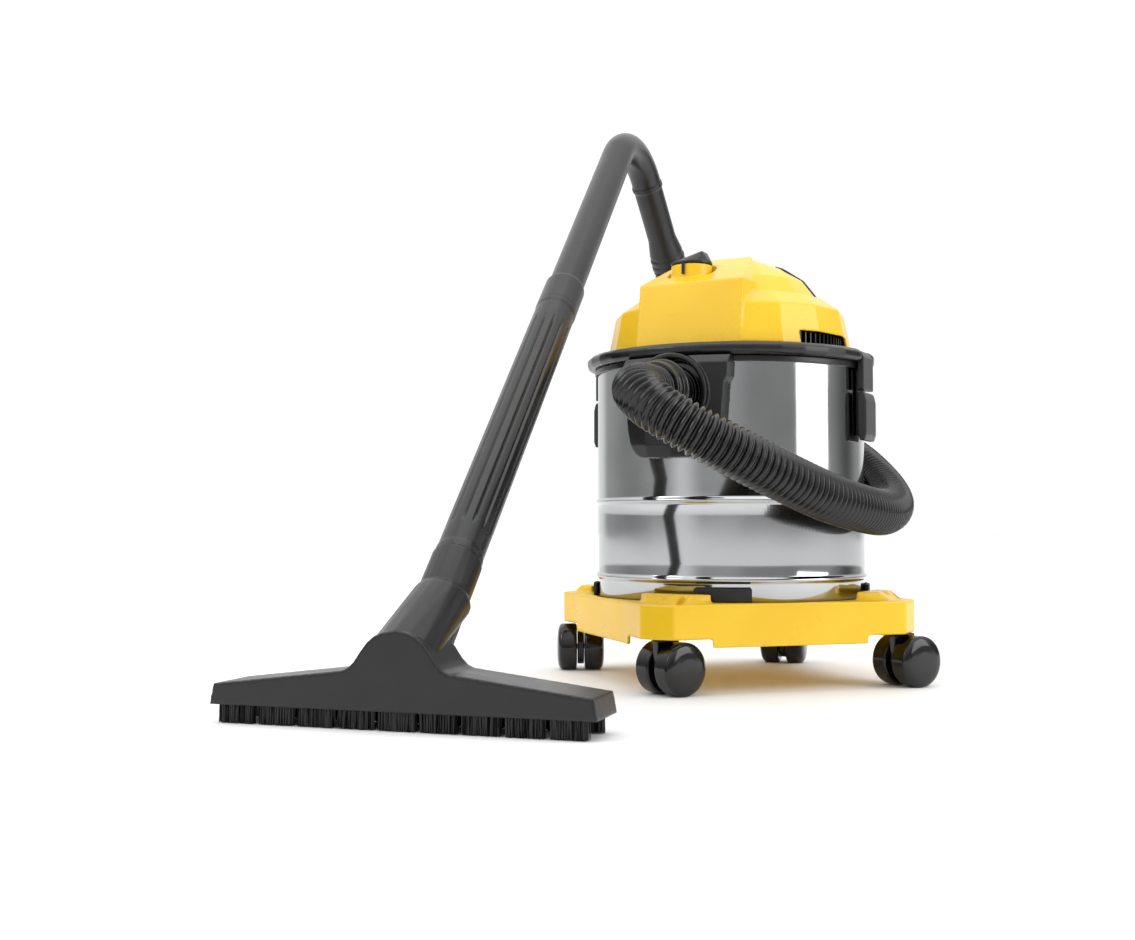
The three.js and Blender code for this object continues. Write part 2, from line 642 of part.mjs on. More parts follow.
function grilleSolid() {
  const low = cover.foot + gap;
  const high = exhaust.top - gap;
  const inner = exhaust.inner + gap;
  let solid = sector(inner, inner + 2.5, exhaust.from + 0.5, exhaust.to - 0.5, low, high);
  const step = (exhaust.to - exhaust.from - 4) / (exhaust.fins - 1);
  for (let i = 0; i < exhaust.fins; i += 1) {
    const azimuth = exhaust.from + 2 + i * step;
    const half = exhaust.finThickness / 2;
    const fin = box(-half, half, -skirt.radius + exhaust.finDepth, -inner - 1, low, high);
    solid = solid.add(fin.rotate([0, 0, azimuth]));
  }
  return solid;
}

add("exhaust_grille", grilleSolid(), "black");

// ---- inside the head: deck, fan housing, fan, motor and shaft -----------------------------------
const deckTop = deck.bottom + deck.thickness;
add("motor_deck", turned([
  [deck.spigotBore, deck.bottom - deck.spigotDrop], [deck.spigot, deck.bottom - deck.spigotDrop],
  [deck.spigot, deck.bottom], [deck.radius, deck.bottom], [deck.radius, deckTop], [deck.spigotBore, deckTop],
]), "black");

const housingLow = deckTop + gap;
const housingTop = housingLow + fanHousing.height;
const hw = fanHousing.wall;
add("fan_housing", turned([
  [deck.spigotBore, housingLow], [fanHousing.radius, housingLow], [fanHousing.radius, housingTop],
  [motor.shaft + 10, housingTop], [motor.shaft + 10, housingTop - hw], [fanHousing.radius - hw, housingTop - hw],
  [fanHousing.radius - hw, housingLow + hw], [deck.spigotBore, housingLow + hw],
]), "grey");

function fanSolid() {
  const low = housingLow + hw + 2;
  const high = low + fan.height;
  let solid = turned([
    [motor.shaft + gap, low], [fan.hub, low], [fan.hub, high - 1.4], [fan.radius, high - 1.4],
    [fan.radius, high], [motor.shaft + gap, high],
  ], smallRounds);
  for (let i = 0; i < fan.blades; i += 1) {
    const blade = box(-0.8, 0.8, -fan.radius + 1, -fan.hub + 1, low, high - 1);
    solid = solid.add(blade.rotate([0, 0, (i * 360) / fan.blades]));
  }
  return solid;
}

add("suction_fan", fanSolid(), "brightSteel");
const motorLow = housingTop + gap;
const motorTop = motorLow + motor.height;
add("motor_body", turned([
  [motor.shaft + 0.6, motorLow], [motor.radius - 6, motorLow], [motor.radius, motorLow + 6],
  [motor.radius, motorTop - 14], [motor.radius - 16, motorTop], [motor.shaft + 0.6, motorTop],
], smallRounds), "grey");
add("motor_shaft", rod(
  new THREE.Vector3(0, 0, housingLow + hw + 1), new THREE.Vector3(0, 0, motorTop + 4), motor.shaft,
), "brightSteel");

// ---- under the head: float cage, float, and the pleated cartridge filter with its end cap -------
function cageSolid() {
  const top = deck.bottom - deck.spigotDrop - gap;
  let solid = turned([
    [0, cage.bottom], [cage.outer, cage.bottom], [cage.outer, top], [cage.inner, top],
    [cage.inner, cage.bottom + cage.floor], [0, cage.bottom + cage.floor],
  ], smallRounds);
  for (const turn of [45, 135]) {
    const slot = box(-cage.slot / 2, cage.slot / 2, -cage.outer - 2, cage.outer + 2, cage.bottom + 8, top - 8);
    solid = solid.subtract(slot.rotate([0, 0, turn]));
  }
  return solid;
}

add("float_cage", cageSolid(), "black");
add("float", turned([
  [0, float.seat], [float.radius - 3, float.seat], [float.radius, float.seat + 3],
  [float.radius, float.seat + float.height], [0, float.seat + float.height],
], smallRounds), "white");

function pleatedRing() {
  const outline = [];
  const hole = [];
  for (let i = 0; i < filter.pleats * 2; i += 1) {
    const a = (i * Math.PI) / filter.pleats;
    const r = filter.outer - (i % 2) * filter.pleatDepth;
    outline.push(new THREE.Vector2(r * Math.cos(a), r * Math.sin(a)));
    if (i % 2 === 0) hole.push(new THREE.Vector2(filter.inner * Math.cos(a), filter.inner * Math.sin(a)));
  }
  const shape = new THREE.Shape(outline);
  shape.holes.push(new THREE.Path(hole.reverse()));
  const depth = deck.bottom - gap - filter.bottom;
  const geometry = new THREE.ExtrudeGeometry(shape, { depth, bevelEnabled: false });
  return toSolid(geometry.translate(0, 0, filter.bottom));
}

add("filter_cartridge", pleatedRing(), "paper");
const capHigh = filter.bottom - gap;
add("filter_cap", turned([
  [0, capHigh - filter.capHeight - 10], [12, capHigh - filter.capHeight - 10], [12, capHigh - filter.capHeight],
  [filter.outer, capHigh - filter.capHeight], [filter.outer + 2, capHigh - 3], [filter.outer + 2, capHigh],
  [0, capHigh],
]), "black");

// ---- wand: nozzle with two brush strips, extension tube, bent handle and the hose's cuff --------
const wandGroup = new THREE.Group();
wandGroup.position.set(wand.x, wand.y, 0);
wandGroup.rotation.z = rad(wand.turn);
group.add(wandGroup);

const slope = rad(wand.slope);
// A point on the wand's straight line, at a distance up it from its foot.
function upWand(distance) {
  return new THREE.Vector3(0, wand.footY + distance * Math.cos(slope), wand.footZ + distance * Math.sin(slope));
}

function pipe(from, to, radius, bore) {
  const past = new THREE.Vector3().subVectors(to, from).normalize();
  const inner = rod(from.clone().sub(past), to.clone().add(past), bore, smallRounds);
  return rod(from, to, radius, smallRounds).subtract(inner);
}

function nozzleSolid() {
  const { half, front, depth, bottom, endTop, shoulder, shoulderAt, hump } = nozzle;
  const shape = new THREE.Shape();
  shape.moveTo(-half, bottom);
  shape.lineTo(half, bottom);
  shape.lineTo(half - 3, endTop);
  shape.lineTo(shoulderAt, shoulder);
  shape.bezierCurveTo(shoulderAt - 16, shoulder + 4, 30, hump, 0, hump);
  shape.bezierCurveTo(-30, hump, -shoulderAt + 16, shoulder + 4, -shoulderAt, shoulder);
  shape.lineTo(-half + 3, endTop);
  const geometry = new THREE.ExtrudeGeometry(shape, { depth, bevelEnabled: false, curveSegments: 8 });
  geometry.rotateX(Math.PI / 2);
  geometry.translate(0, depth - front, 0);
  const socket = rod(upWand(neck.start), upWand(neck.end), neck.radius, smallRounds);
  const throat = rod(upWand(neck.start - 26), upWand(neck.end + 1), neck.bore, smallRounds);
  const middle = depth / 2 - front;
  const slot = box(
    -mouth.half, mouth.half, middle - mouth.depth / 2, middle + mouth.depth / 2, bottom - 1, mouth.roof,
  );
  const hood = [];
  for (let i = 0; i < smallRounds; i += 1) {
    const a = (i * 2 * Math.PI) / smallRounds;
    const out = new THREE.Vector3(Math.cos(a), -Math.sin(slope) * Math.sin(a), Math.cos(slope) * Math.sin(a));
    hood.push(upWand(neck.hoodEnd).addScaledVector(out, neck.hood - 2));
    hood.push(upWand(neck.hoodEnd - 4).addScaledVector(out, neck.hood));
  }
  for (const [x, z] of [[30, shoulder + 8], [22, hump - 12], [11, hump - 3], [0, hump]]) {
    hood.push(new THREE.Vector3(x, -front, z), new THREE.Vector3(-x, -front, z));
  }
  return toSolid(geometry).add(socket).add(hull(hood)).subtract(throat).subtract(slot);
}

add("nozzle_body", nozzleSolid(), "black", wandGroup);
const frontStrip = -nozzle.front + brush.inset;
const rearStrip = nozzle.depth - nozzle.front - brush.inset - brush.thickness;
for (const [name, from] of [["brush_front", frontStrip], ["brush_rear", rearStrip]]) {
  const strip = box(-brush.half, brush.half, from, from + brush.thickness, 0, nozzle.bottom - gap);
  add(name, strip, "black", wandGroup);
}

const tubeStart = neck.end + gap;
add("extension_tube", pipe(upWand(tubeStart), upWand(tube.end), tube.radius, tube.bore), "grey", wandGroup);

// The handle runs on up the same line, turns over in one bend, leaning a little to the right, and points down
// to the hose.
const wandLine = new THREE.Vector3(0, Math.cos(slope), Math.sin(slope));
const leaned = (vector) => vector.applyAxisAngle(wandLine, -rad(handle.lean));

class HandleCurve extends THREE.Curve {
  constructor(start, straight, bend, sweep, tail) {
    super();
    Object.assign(this, { start, straight, bend, sweep, tail });
  }

  getPoint(t, target = new THREE.Vector3()) {
    const arc = this.bend * this.sweep;
    const distance = t * (this.straight + arc + this.tail);
    const along = Math.min(distance, this.straight);
    const turn = THREE.MathUtils.clamp((distance - this.straight) / this.bend, 0, this.sweep);
    const past = Math.max(0, distance - this.straight - arc);
    const heading = slope - turn;
    const y = along * Math.cos(slope) + this.bend * (Math.sin(slope) - Math.sin(heading));
    const z = along * Math.sin(slope) + this.bend * (Math.cos(heading) - Math.cos(slope));
    const end = new THREE.Vector3(0, y + past * Math.cos(heading), z + past * Math.sin(heading));
    return target.copy(leaned(end).add(this.start));
  }
}

const handleStart = tube.end + gap;
const handleSweep = slope + rad(handle.fall);
const handleCurve = new HandleCurve(
  upWand(handleStart), handle.straight - handleStart, handle.bend, handleSweep, handle.tail,
);

function handleSolid() {
  const shape = new THREE.Shape().absarc(0, 0, handle.radius, 0, 2 * Math.PI);
  shape.holes.push(new THREE.Path().absarc(0, 0, handle.bore, 0, 2 * Math.PI));
  const options = { steps: 26, extrudePath: handleCurve, bevelEnabled: false, curveSegments: smallRounds / 2 };
  const solid = toSolid(new THREE.ExtrudeGeometry(shape, options));
  const socketEnd = upWand(handleStart + 42);
  const sleeve = pipe(upWand(handleStart), socketEnd, tube.radius + 0.6, handle.bore + 0.5);
  return solid.add(sleeve);
}

add("handle_tube", handleSolid(), "grey", wandGroup);

const handleEnd = handleCurve.getPoint(1);
const fall = rad(-handle.fall);
const fallLine = leaned(new THREE.Vector3(0, Math.cos(fall), Math.sin(fall)));
const downHose = (distance) => handleEnd.clone().addScaledVector(fallLine, distance);

function cuffSolid() {
  const flareAt = cuff.length - 26;
  const profile = [
    [cuff.bore, 0], [cuff.radius, 0], [cuff.radius, flareAt], [cuff.flare, cuff.length - 8],
    [cuff.flare, cuff.length], [cuff.bore, cuff.length],
  ];
  const geometry = toGeometry(turned(profile, smallRounds));
  const up = new THREE.Vector3(0, 0, 1);
  geometry.applyQuaternion(new THREE.Quaternion().setFromUnitVectors(up, fallLine));
  const at = downHose(gap);
  return geometry.translate(at.x, at.y, at.z);
}

add("hose_cuff", cuffSolid(), "black", wandGroup);

// ---- hose: from the connector it hangs in one loop round the drum's right side, then up to the cuff 
const hoseRoute = [
  [0, -197.3, 284], [0, -213, 284], [3, -236, 282], [15, -259, 274], [37, -271, 260], [66, -267, 242],
  [97, -244, 222], [126, -205, 202], [150, -150, 184], [163, -85, 174], [166, -12, 171], [157, 50, 181],
  [133, 100, 201], [92, 145, 230], [38, 192, 254], [-22, 242, 270], [-82, 294, 290], [-134, 336, 322],
  [-176, 361, 366], [-201, 362, 418],
];

wandGroup.updateMatrixWorld(true);
const hoseTop = downHose(cuff.length + 2 * gap).applyMatrix4(wandGroup.matrixWorld);
const hoseLead = downHose(cuff.length + 36).applyMatrix4(wandGroup.matrixWorld);
const hosePoints = [...hoseRoute.map(([x, y, z]) => new THREE.Vector3(x, y, z)), hoseLead, hoseTop];
const hoseCurve = new THREE.CatmullRomCurve3(hosePoints, false, "centripetal");
const hoseSection = new THREE.Shape(Array.from({ length: hose.sides }, (_, i) => {
  const a = (i * 2 * Math.PI) / hose.sides;
  return new THREE.Vector2(hose.radius * Math.cos(a), hose.radius * Math.sin(a));
}));
const hoseOptions = { steps: hose.steps, extrudePath: hoseCurve, bevelEnabled: false };
add("suction_hose", toSolid(new THREE.ExtrudeGeometry(hoseSection, hoseOptions)), "black");

// ---- the origin is under the middle of everything but the hose and its cuff, on the floor -------
const cordNames = ["suction_hose", "hose_cuff"];
const bounds = new THREE.Box3();
group.updateMatrixWorld(true);
group.traverse((piece) => {
  if (piece.isMesh && !cordNames.includes(piece.name)) bounds.expandByObject(piece, true);
});
const centre = bounds.getCenter(new THREE.Vector3());
group.position.set(-centre.x, -centre.y, -bounds.min.z);

export default group;
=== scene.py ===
"""Shop vacuum: a steel drum on a castered base, with a motor head, a ribbed hose and a floor nozzle."""

import math
import random

import bmesh
import bpy
from mathutils import Matrix, Vector, noise


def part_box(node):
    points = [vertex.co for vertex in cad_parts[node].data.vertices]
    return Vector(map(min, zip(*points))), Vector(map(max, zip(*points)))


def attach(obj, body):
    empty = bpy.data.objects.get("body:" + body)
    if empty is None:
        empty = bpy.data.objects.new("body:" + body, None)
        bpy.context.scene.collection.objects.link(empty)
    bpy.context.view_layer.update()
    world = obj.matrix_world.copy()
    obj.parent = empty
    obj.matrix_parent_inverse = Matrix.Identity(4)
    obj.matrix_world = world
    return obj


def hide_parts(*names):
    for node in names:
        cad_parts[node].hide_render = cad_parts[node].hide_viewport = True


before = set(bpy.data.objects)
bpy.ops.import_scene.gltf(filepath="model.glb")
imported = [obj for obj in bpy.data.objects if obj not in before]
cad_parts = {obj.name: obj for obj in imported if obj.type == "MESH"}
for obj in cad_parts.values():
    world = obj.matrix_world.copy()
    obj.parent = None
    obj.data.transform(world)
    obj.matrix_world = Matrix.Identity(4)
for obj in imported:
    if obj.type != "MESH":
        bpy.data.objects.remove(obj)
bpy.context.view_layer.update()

# ---- camera ---------------------------------------------------------------------------------------------
# A camera low over the floor, in front of the vacuum and a little to its right. It is placed from the
# drum's axis, which also stands behind most of the sizes below.
drum_low, drum_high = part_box("drum")
AXIS = Vector(((drum_low.x + drum_high.x) / 2, (drum_low.y + drum_high.y) / 2, 0))
camera_data = bpy.data.cameras.new("camera")
camera_data.lens = 43.36
camera_data.sensor_width = 36
camera = bpy.data.objects.new("camera", camera_data)
camera.location = AXIS + Vector((0.516, -1.3473, 0.163))
camera.rotation_euler = (math.radians(92.1), 0, math.radians(27.73))
bpy.context.scene.collection.objects.link(camera)
bpy.context.scene.camera = camera
bpy.context.scene.view_settings.view_transform = "Standard"

# ---- suction hose ---------------------------------------------------------------------------------------
# Blown polyethylene hose, 45 mm outside, moulded in close rings so that it bends without folding. It leaves
# the connector, hangs round the drum's right side and comes up behind it to the cuff on the handle.
HOSE_DIAMETER = 0.045
RING_PITCH = 0.0066
RING_DEPTH = 0.0042
HOSE_SIDES = 36
hose_route = [
    (0, -0.1973, 0.284), (0, -0.213, 0.284), (0.003, -0.236, 0.282), (0.015, -0.259, 0.274),
    (0.037, -0.271, 0.26), (0.066, -0.267, 0.242), (0.097, -0.244, 0.222), (0.126, -0.205, 0.202),
    (0.15, -0.15, 0.184), (0.163, -0.085, 0.174), (0.166, -0.012, 0.171), (0.157, 0.05, 0.181),
    (0.133, 0.1, 0.201), (0.092, 0.145, 0.23), (0.038, 0.192, 0.254), (-0.022, 0.242, 0.27),
    (-0.082, 0.294, 0.29), (-0.134, 0.336, 0.322), (-0.176, 0.361, 0.366), (-0.201, 0.362, 0.418),
    (-0.2061, 0.3415, 0.4739), (-0.2061, 0.3195, 0.5016),
]


def flowing(points, per_span):
    """Points on one smooth line through the given ones, with no loops where they lie close together."""
    ends = [points[0] * 2 - points[1], *points, points[-1] * 2 - points[-2]]
    line = []
    for a, b, c, d in zip(ends, ends[1:], ends[2:], ends[3:]):
        before, here, after = ((q - p).length ** 0.5 for p, q in ((a, b), (b, c), (c, d)))
        leave = ((b - a) / before - (c - a) / (before + here) + (c - b) / here) * here
        arrive = ((c - b) / here - (d - b) / (here + after) + (d - c) / after) * here
        for i in range(per_span):
            t = i / per_span
            t2 = t * t
            t3 = t2 * t
            line.append(
                b * (2 * t3 - 3 * t2 + 1) + leave * (t3 - 2 * t2 + t)
                + c * (3 * t2 - 2 * t3) + arrive * (t3 - t2)
            )
    return [*line, points[-1].copy()]


def evenly(line, spacing):
    """The same line with its points a set distance apart."""
    total = sum((b - a).length for a, b in zip(line, line[1:]))
    count = max(2, round(total / spacing))
    found = [line[0].copy()]
    walked = 0.0
    for a, b in zip(line, line[1:]):
        span = (b - a).length
        while len(found) < count and total * len(found) / count <= walked + span:
            found.append(a.lerp(b, (total * len(found) / count - walked) / span))
        walked += span
    return [*found, line[-1].copy()]


def along(line, sides, radius_at):
    """Rings of points round a line, carried along it untwisted; radius_at(distance, angle) sizes them."""
    rings = []
    tangent = (line[1] - line[0]).normalized()
    across = tangent.orthogonal().normalized()
    walked = 0.0
    for i, point in enumerate(line):
        ahead = line[min(i + 1, len(line) - 1)] - line[max(i - 1, 0)]
        turn = tangent.rotation_difference(ahead.normalized())
        tangent = ahead.normalized()
        across = (turn @ across).normalized()
        side = tangent.cross(across)
        ring = []
        for k in range(sides):
            angle = 2 * math.pi * k / sides
            radius = radius_at(walked, angle)
            ring.append(point + (across * math.cos(angle) + side * math.sin(angle)) * radius)
        rings.append(ring)
        if i + 1 < len(line):
            walked += (line[i + 1] - point).length
    return rings


def skin(rings, loop=False):
    """Vertices and faces of a closed body over rings of points; loop joins the last ring to the first."""
    count = len(rings[0])
    verts = [p for ring in rings for p in ring]
    faces = []
    for i in range(len(rings) if loop else len(rings) - 1):
        low = i * count
        high = ((i + 1) % len(rings)) * count
        for k in range(count):
            after = (k + 1) % count
            faces.append((low + k, low + after, high + after, high + k))
    if not loop:
        faces.append(tuple(reversed(range(count))))
        faces.append(tuple(range((len(rings) - 1) * count, len(rings) * count)))
    return verts, faces


def piece(name, form, body, material, replaced=(), sharp=None):
    """One piece of the vacuum from its vertices and faces, riding on a body and standing for CAD nodes."""
    mesh = bpy.data.meshes.new(name)
    mesh.from_pydata([tuple(v) for v in form[0]], [], form[1])
    shell = bmesh.new()
    shell.from_mesh(mesh)
    bmesh.ops.remove_doubles(shell, verts=shell.verts, dist=1e-6)
    bmesh.ops.recalc_face_normals(shell, faces=shell.faces)
    shell.to_mesh(mesh)
    shell.free()
    mesh.shade_smooth()
    if sharp:
        mesh.set_sharp_from_angle(angle=math.radians(sharp))
    made = bpy.data.objects.new(name, mesh)
    bpy.context.scene.collection.objects.link(made)
    made.data.materials.append(material)
    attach(made, body)
    if replaced:
        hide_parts(*replaced)
    return made


def linear(code):
    """A colour given as sRGB hex, as linear numbers with alpha."""
    parts = [int(code[i:i + 2], 16) / 255 for i in (0, 2, 4)]
    return (*[p / 12.92 if p <= 0.04045 else ((p + 0.055) / 1.055) ** 2.4 for p in parts], 1)


def put(tree, kind, sockets, **settings):
    """Adds a shader node. Settings are its own options; a socket takes a value or another node's output."""
    made = tree.nodes.new("ShaderNode" + kind)
    for option, value in settings.items():
        setattr(made, option, value)
    for socket, value in sockets.items():
        if isinstance(value, bpy.types.NodeSocket):
            tree.links.new(value, made.inputs[socket])
        else:
            made.inputs[socket].default_value = value
    return made


def fresh(name):
    """A new node material with all its nodes cleared away, output included, ready for nodes."""
    made = bpy.data.materials.new(name)
    made.use_nodes = True
    made.node_tree.nodes.clear()
    return made, made.node_tree


def moulded_plastic(name, colour, shade, roughness, grain, relief, ior=1.5, coat=0.0):
    """Moulded plastic: a colour that drifts a little to its shade over a hand's width, gloss that varies in
    soft patches of 25 mm, and a spark-eroded grain of the given size and depth, in metres."""
    made, tree = fresh(name)
    place = put(tree, "TexCoord", {}).outputs["Object"]
    drift = put(tree, "TexNoise", {"Vector": place, "Scale": 1 / 0.09, "Detail": 2.0})
    tint = put(tree, "ValToRGB", {"Fac": drift.outputs["Fac"]})
    tint.color_ramp.elements[0].position = 0.3
    tint.color_ramp.elements[0].color = linear(shade)
    tint.color_ramp.elements[1].position = 0.7
    tint.color_ramp.elements[1].color = linear(colour)
    patches = put(tree, "TexNoise", {"Vector": place, "Scale": 1 / 0.025, "Detail": 3.0})
    gloss = put(tree, "MapRange", {
        "Value": patches.outputs["Fac"], "From Min": 0.3, "From Max": 0.7,
        "To Min": roughness * 0.88, "To Max": roughness * 1.12,
    })
    pits = put(tree, "TexNoise", {"Vector": place, "Scale": 1 / grain, "Detail": 2.0})
    bump = put(tree, "Bump", {"Height": pits.outputs["Fac"], "Strength": 1.0, "Distance": relief})
    shader = put(tree, "BsdfPrincipled", {
        "Base Color": tint.outputs["Color"], "Roughness": gloss.outputs["Result"],
        "Normal": bump.outputs["Normal"], "IOR": ior, "Coat Weight": coat, "Coat Roughness": 0.1,
    })
    put(tree, "OutputMaterial", {"Surface": shader.outputs["BSDF"]})
    return made


# Blown polyethylene, near black with a soft waxy shine; its rings catch thin lines of light.
hose_polyethylene = moulded_plastic("blown_polyethylene", "080809", "050506", 0.24, 0.0012, 0.00002)


def ring_profile(distance, _angle):
    """The hose's radius: broad rounded crests with narrow valleys between them."""
    wave = 0.5 + 0.5 * math.cos(2 * math.pi * distance / RING_PITCH)
    return HOSE_DIAMETER / 2 - RING_DEPTH * (1 - wave ** 0.6)


hose_line = evenly(flowing([AXIS + Vector(p) for p in hose_route], 24), RING_PITCH / 8)
hose = piece(
    "ribbed_hose", skin(along(hose_line, HOSE_SIDES, ring_profile)), "drum_assembly",
    hose_polyethylene, ["suction_hose"],
)

# ---- hose cuff ------------------------------------------------------------------------------------------
# Soft black moulding pushed over the handle's end; the hose is screwed and glued into its flared mouth.
# Finger ribs run round it near the mouth.
CUFF_RADIUS = 0.0182
CUFF_FLARE = 0.023


def eased(outline, radius, closed=False, steps=4):
    """An outline with its corners rounded off; a corner takes at most 0.45 of either side next to it."""
    outline = [Vector(p) for p in outline]
    found = []
    for i, corner in enumerate(outline):
        if not closed and i in (0, len(outline) - 1):
            found.append(corner)
            continue
        before = outline[i - 1] - corner
        after = outline[(i + 1) % len(outline)] - corner
        start = corner + before * min(0.45, radius / before.length)
        end = corner + after * min(0.45, radius / after.length)
        for k in range(steps + 1):
            t = k / steps
            found.append(start.lerp(corner, t).lerp(corner.lerp(end, t), t))
    return found


def turned(profile, foot, axis, sides=96):
    """A turned piece; the profile lists (radius, distance along the axis) from the foot, and closes on the
    axis where its first radius is zero, or on itself."""
    axis = Vector(axis).normalized()
    across = axis.orthogonal().normalized()
    if abs(axis.z) > 0.9:
        across = Vector((1, 0, 0))
    side = axis.cross(across)
    rings = []
    for radius, distance in profile:
        ring = []
        for k in range(sides):
            angle = 2 * math.pi * k / sides
            out = across * math.cos(angle) + side * math.sin(angle)
            ring.append(Vector(foot) + axis * distance + out * max(radius, 1e-5))
        rings.append(ring)
    return skin(rings, loop=profile[0][0] > 1e-4)


CUFF_LENGTH = 0.12
hose_end = AXIS + Vector(hose_route[-1])
cuff_line = (Vector(hose_route[-1]) - Vector(hose_route[-2])).normalized()
cuff_profile = [
    (0.015, -0.0006), (CUFF_FLARE, -0.0006), (CUFF_FLARE, 0.006), (CUFF_FLARE - 0.0012, 0.0075),
    (CUFF_FLARE - 0.0012, 0.0095), (CUFF_FLARE, 0.011), (CUFF_FLARE - 0.0002, 0.015),
    (CUFF_FLARE - 0.0016, 0.0165), (CUFF_FLARE - 0.0018, 0.0185), (CUFF_FLARE - 0.001, 0.02),
    (CUFF_RADIUS, 0.042), (CUFF_RADIUS, CUFF_LENGTH - 0.008), (CUFF_RADIUS + 0.0016, CUFF_LENGTH - 0.006),
    (CUFF_RADIUS + 0.0016, CUFF_LENGTH), (0.015, CUFF_LENGTH),
]
soft_cuff = moulded_plastic("soft_moulded_cuff", "0E0D0E", "0A090A", 0.38, 0.0009, 0.00004)
cuff = piece(
    "cuff_sleeve", turned(eased(cuff_profile, 0.002, closed=True), hose_end, cuff_line),
    "drum_assembly", soft_cuff, ["hose_cuff"],
)

# ---- base -----------------------------------------------------------------------------------------------
# One deep tray moulded in glossy yellow ABS, open underneath, with a boxed arm over each caster. The mould
# leaves small radii on all its edges. Each arm has a shallow finger scoop on its crest and a slot beside it.
base_yellow = moulded_plastic("yellow_abs", "F0C41C", "E9BA16", 0.3, 0.0011, 0.00003)


def softened(name, node, voxel, passes, body, material, cutters=()):
    """A finer copy of a CAD node's form, remeshed and smoothed so that its edges get a moulding's radii."""
    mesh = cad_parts[node].data.copy()
    shell = bmesh.new()
    shell.from_mesh(mesh)
    bmesh.ops.remove_doubles(shell, verts=shell.verts, dist=2e-6)
    shell.to_mesh(mesh)
    shell.free()
    rough = bpy.data.objects.new(name + "_rough", mesh)
    bpy.context.scene.collection.objects.link(rough)
    for cutter in cutters:
        cut = rough.modifiers.new("cut", "BOOLEAN")
        cut.operation = "DIFFERENCE"
        cut.solver = "EXACT"
        cut.object = cutter
    remesh = rough.modifiers.new("remesh", "REMESH")
    remesh.mode = "VOXEL"
    remesh.voxel_size = voxel
    smooth = rough.modifiers.new("smooth", "SMOOTH")
    smooth.factor = 0.5
    smooth.iterations = passes
    evaluated = rough.evaluated_get(bpy.context.evaluated_depsgraph_get())
    fine = evaluated.to_mesh()
    form = [v.co.copy() for v in fine.vertices], [tuple(p.vertices) for p in fine.polygons]
    evaluated.to_mesh_clear()
    bpy.data.objects.remove(rough)
    for cutter in cutters:
        bpy.data.objects.remove(cutter)
    return piece(name, form, body, material, [node])


def cutting_ball(place, size):
    """A flattened ball that hollows a scoop; size gives its half-lengths."""
    shell = bmesh.new()
    bmesh.ops.create_icosphere(shell, subdivisions=4, radius=1.0)
    bmesh.ops.scale(shell, vec=size, verts=shell.verts)
    bmesh.ops.translate(shell, vec=place, verts=shell.verts)
    mesh = bpy.data.meshes.new("cutter")
    shell.to_mesh(mesh)
    shell.free()
    made = bpy.data.objects.new("cutter", mesh)
    bpy.context.scene.collection.objects.link(made)
    return made


SCOOP_PLACE = Vector((-0.004, -0.166, 0.0975))
SCOOP_SIZE = (0.011, 0.008, 0.0085)
SLOT_PLACE = Vector((0.0155, -0.169, 0.088))
SLOT_SIZE = (0.0035, 0.0065, 0.0075)
arm_cuts = []
for quarter in range(4):
    spin = Matrix.Rotation(math.radians(90 * quarter), 3, "Z")
    for place, (x, y, z) in ((SCOOP_PLACE, SCOOP_SIZE), (SLOT_PLACE, SLOT_SIZE)):
        size = (x, y, z) if quarter % 2 == 0 else (y, x, z)
        arm_cuts.append(cutting_ball(AXIS + spin @ place, size))
softened("base_moulding", "base_chassis", 0.0014, 4, "drum_assembly", base_yellow, arm_cuts)

# ---- drum buffers ---------------------------------------------------------------------------------------
# Four rubber pads between the drum's foot and the base, which stop the steel rattling on the plastic.
buffer_rubber = moulded_plastic("moulded_rubber", "111112", "0C0C0C", 0.55, 0.0008, 0.00008)
for index in range(1, 5):
    softened(f"buffer_pad_{index}", f"drum_buffer_{index}", 0.0007, 4, "drum_assembly", buffer_rubber)

# ---- casters --------------------------------------------------------------------------------------------
# Twin-wheel casters in polished black nylon, which catches crisp lights: a web that swivels on its stem, and
# two nearly flat wheels on a zinc-plated axle.
WHEEL_RADIUS = 0.025
WHEEL_OUT = 0.026
WHEEL_IN = 0.0042
caster_nylon = moulded_plastic("polished_nylon", "09090A", "060607", 0.14, 0.0016, 0.00002)
zinc_plate, zinc_tree = fresh("zinc_plated_steel")
zinc_place = put(zinc_tree, "TexCoord", {}).outputs["Object"]
zinc_spangle = put(zinc_tree, "TexVoronoi", {"Vector": zinc_place, "Scale": 1 / 0.0012})
zinc_rough = put(zinc_tree, "MapRange", {
    "Value": zinc_spangle.outputs["Distance"], "To Min": 0.28, "To Max": 0.42,
})
zinc_shader = put(zinc_tree, "BsdfPrincipled", {
    "Base Color": linear("C9CCD0"), "Metallic": 1.0, "Roughness": zinc_rough.outputs["Result"],
})
put(zinc_tree, "OutputMaterial", {"Surface": zinc_shader.outputs["BSDF"]})


def paint(node, material):
    """Gives a CAD node that keeps its own shape one material."""
    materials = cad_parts[node].data.materials
    materials.clear()
    materials.append(material)


